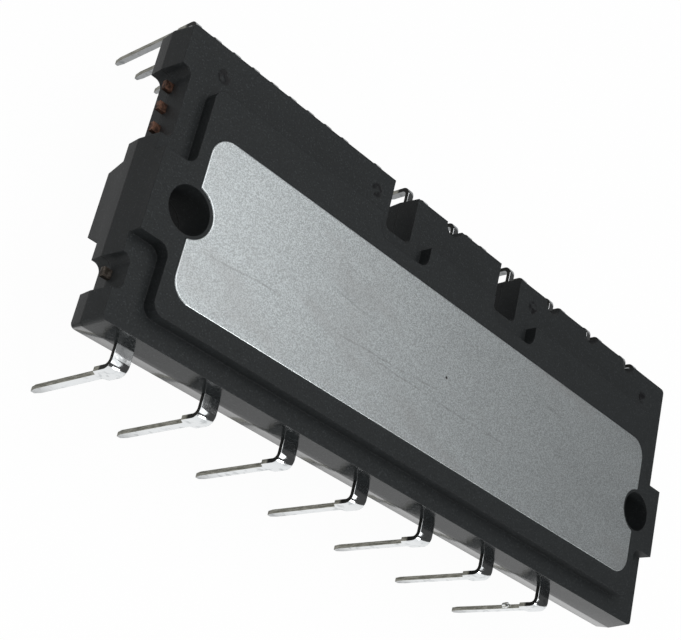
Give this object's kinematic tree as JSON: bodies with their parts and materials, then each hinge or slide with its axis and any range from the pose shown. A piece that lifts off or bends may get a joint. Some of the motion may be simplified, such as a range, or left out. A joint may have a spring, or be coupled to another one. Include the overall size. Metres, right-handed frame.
{
  "type": "dual in-line power module",
  "caption": "Moulded power module with a bare heat plate on top and two rows of formed leads that solder into a circuit board.",
  "frame": {"origin": "level of the lead tips, below the middle of the body", "axes": "+X along the body, +Y from the power leads towards the control leads, +Z out of the heat plate"},
  "size_m": [0.0794, 0.0356, 0.0171],
  "materials": {
    "moulding_compound": "fine matt mould skin",
    "plate_metal": "matt blasted",
    "insulating_resin": "matt",
    "tinned_copper": "bright tin plating",
    "bare_copper": "dull cut copper",
    "silicon": "polished",
    "solder": "dull",
    "wire_aluminium": "drawn",
    "wire_gold": "drawn"
  },
  "bodies": {
    "root": {"control_lead_01": "tinned_copper", "control_lead_02": "tinned_copper", "control_lead_03": "tinned_copper", "control_lead_04": "tinned_copper", "control_lead_05": "tinned_copper", "control_lead_06": "tinned_copper", "control_lead_07": "tinned_copper", "control_lead_08": "tinned_copper", "control_lead_09": "tinned_copper", "control_lead_10": "tinned_copper", "control_lead_11": "tinned_copper", "control_lead_12": "tinned_copper", "control_lead_13": "tinned_copper", "control_lead_14": "tinned_copper", "control_lead_15": "tinned_copper", "control_lead_16": "tinned_copper", "control_lead_17": "tinned_copper", "control_lead_18": "tinned_copper", "control_lead_19": "tinned_copper", "control_lead_20": "tinned_copper", "control_lead_21": "tinned_copper", "control_lead_22": "tinned_copper", "control_lead_23": "tinned_copper", "die_solder": "solder", "diode_high_u": "silicon", "diode_high_v": "silicon", "diode_high_w": "silicon", "diode_low_u": "silicon", "diode_low_v": "silicon", "diode_low_w": "silicon", "driver_chip_1": "silicon", "driver_chip_2": "silicon", "driver_chip_3": "silicon", "driver_chip_4": "silicon", "driver_island": "bare_copper", "heat_plate": "plate_metal", "insulation_sheet": "insulating_resin", "mold_body": "moulding_compound", "power_lead_supply": "tinned_copper", "power_lead_u": "tinned_copper", "power_lead_u_return": "tinned_copper", "power_lead_v": "tinned_copper", "power_lead_v_return": "tinned_copper", "power_lead_w": "tinned_copper", "power_lead_w_return": "tinned_copper", "power_wires": "wire_aluminium", "signal_wires": "wire_gold", "tie_bar_inner": "bare_copper", "tie_bar_lower": "bare_copper", "tie_bar_upper": "bare_copper", "transistor_high_u": "silicon", "transistor_high_v": "silicon", "transistor_high_w": "silicon", "transistor_low_u": "silicon", "transistor_low_v": "silicon", "transistor_low_w": "silicon"}
  },
  "joints": []
}
